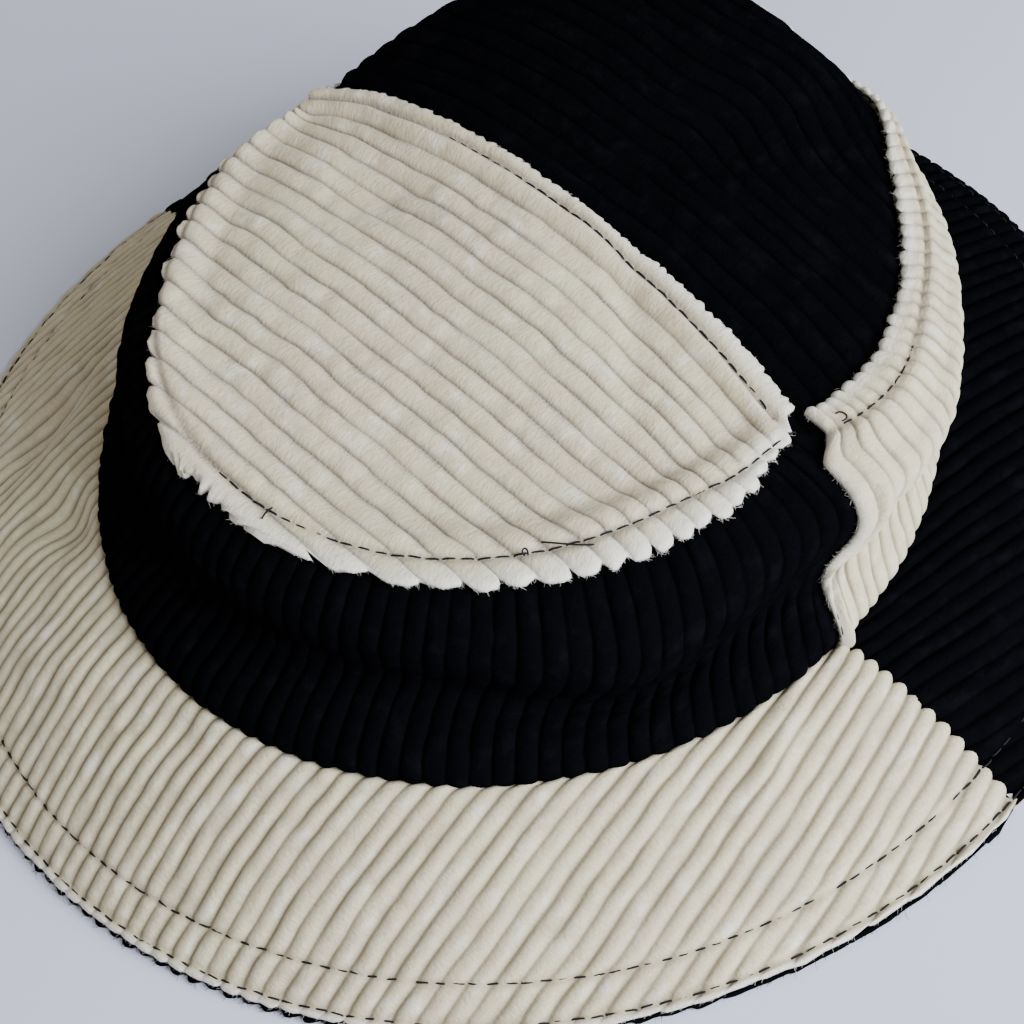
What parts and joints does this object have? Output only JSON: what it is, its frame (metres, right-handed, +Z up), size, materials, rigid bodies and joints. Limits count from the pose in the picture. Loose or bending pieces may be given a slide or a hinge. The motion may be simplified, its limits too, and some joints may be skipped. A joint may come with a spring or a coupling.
{
  "type": "bucket hat",
  "caption": "Soft two-tone corduroy bucket hat with a slumped round crown, raw lapped seams and a stitched wide brim.",
  "frame": {"origin": "on the table, under the middle of the brim", "axes": "+Z up out of the crown, +Y towards the wearer's back, +X towards the wearer's left side seam"},
  "size_m": [0.268, 0.274, 0.0695],
  "materials": {
    "cream_corduroy": "wide-wale cotton corduroy, soft pile, cream",
    "black_corduroy": "wide-wale cotton corduroy, soft pile, black",
    "cotton_lining": "plain-weave cotton, matte",
    "interfacing": "non-woven stiffener, matte",
    "twill_tape": "cotton twill tape",
    "black_thread": "spun polyester sewing thread"
  },
  "bodies": {
    "hat_body": {"side_band_black": "black_corduroy", "side_band_cream": "cream_corduroy", "brim_upper_cream": "cream_corduroy", "brim_upper_black": "black_corduroy", "brim_under_black": "black_corduroy", "brim_under_cream": "cream_corduroy", "brim_interfacing_front": "interfacing", "brim_interfacing_back": "interfacing", "lining_side_front": "cotton_lining", "lining_side_back": "cotton_lining", "sweatband": "twill_tape", "side_stitching_left": "black_thread", "side_stitching_right": "black_thread", "sweatband_stitching_front": "black_thread", "sweatband_stitching_back": "black_thread", "brim_stitching_inner": "black_thread", "brim_stitching_outer": "black_thread"},
    "crown_top": {"crown_top_cream": "cream_corduroy", "crown_top_black": "black_corduroy", "lining_top": "cotton_lining", "centre_stitching": "black_thread", "crown_stitching_front": "black_thread", "crown_stitching_back": "black_thread"}
  },
  "joints": [
    {"name": "crown_slump", "type": "slide", "parent": "hat_body", "child": "crown_top", "axis": [0, 0, 1], "range_m": [0, 0.025], "deforming": ["side_band_black", "side_band_cream", "lining_side_front", "lining_side_back", "side_stitching_left", "side_stitching_right"]}
  ]
}
